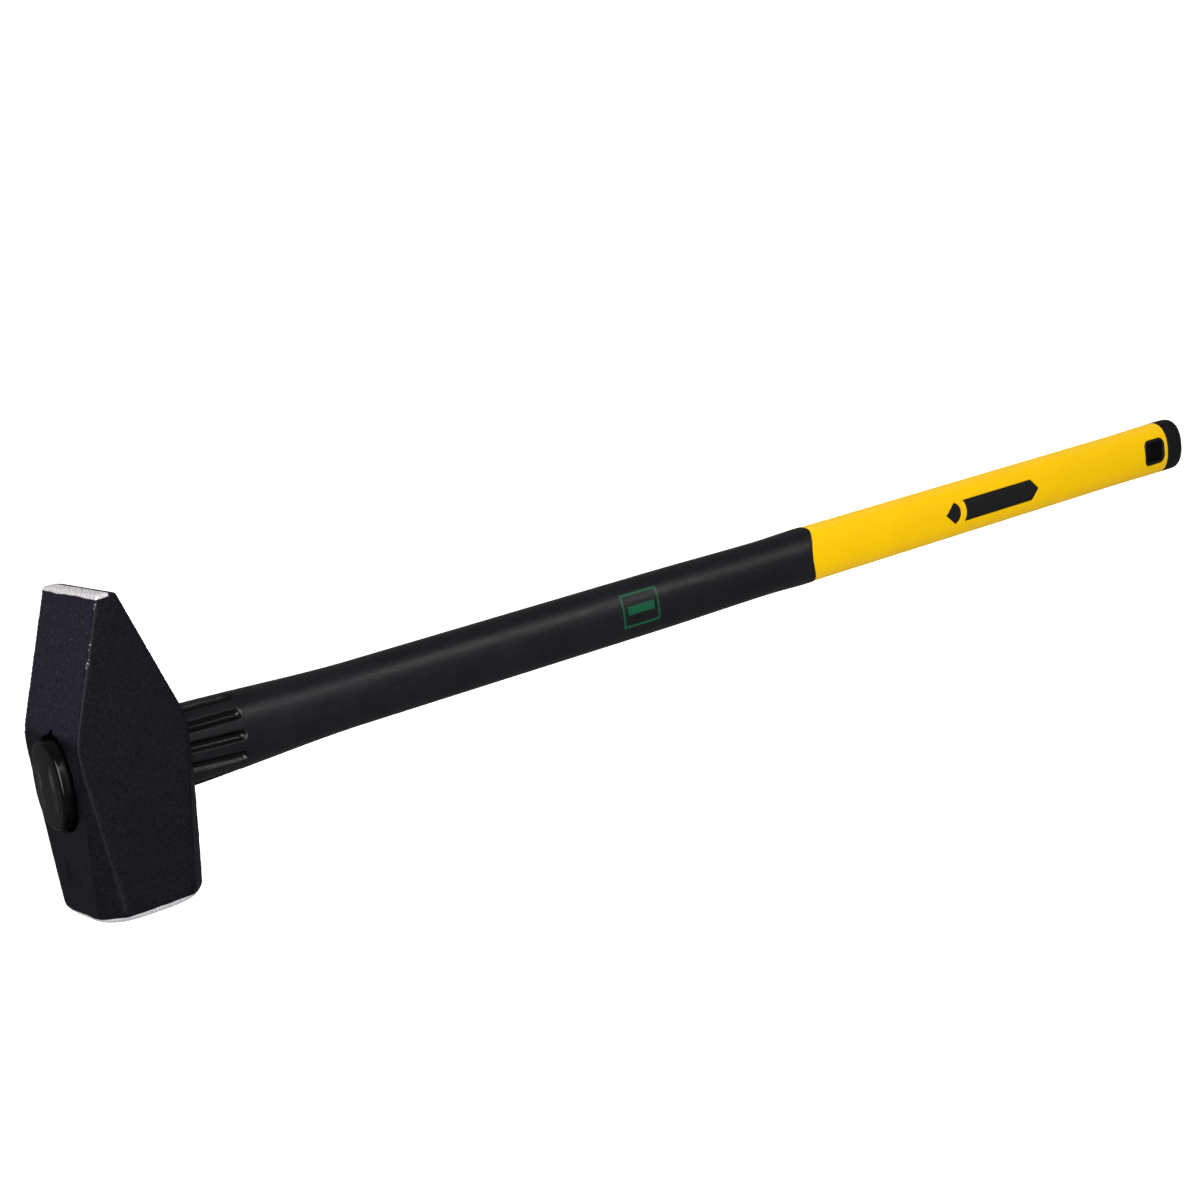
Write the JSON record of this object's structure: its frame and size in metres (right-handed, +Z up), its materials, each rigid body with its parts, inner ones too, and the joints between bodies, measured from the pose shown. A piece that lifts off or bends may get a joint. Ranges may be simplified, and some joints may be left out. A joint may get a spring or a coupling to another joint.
{
  "type": "sledgehammer",
  "caption": "Cross-peen sledgehammer: square forged head with wedge peen and crowned face, oval moulded handle with fluted neck, padded grip and hanging hole.",
  "frame": {"origin": "on the lower cheek's flat face, straight under the middle of the eye", "axes": "+X along the handle from the head to the grip's end, +Y towards the peen, +Z up, away from the cheek that the head rests on"},
  "size_m": [0.9013, 0.1656, 0.059],
  "materials": {
    "forged_paint": "forged steel, thin blue-black paint, bare ground steel on the striking face and the peen's end",
    "cast_resin": "cast, matte",
    "gloss_black": "glossy moulded",
    "glass_fibre": "pultruded glass fibre in resin",
    "satin_black": "satin moulded",
    "yellow_skin": "satin moulded",
    "soft_black": "matte soft moulded"
  },
  "bodies": {
    "root": {"hammer_head": "forged_paint", "eye_resin": "cast_resin", "eye_button": "gloss_black", "handle_core": "glass_fibre", "shaft_jacket": "satin_black", "grip_skin": "yellow_skin", "grip_pad_tip_upper": "soft_black", "grip_pad_long_upper": "soft_black", "grip_pad_tip_lower": "soft_black", "grip_pad_long_lower": "soft_black", "hang_hole_bush": "satin_black", "end_cap": "satin_black"}
  },
  "joints": []
}
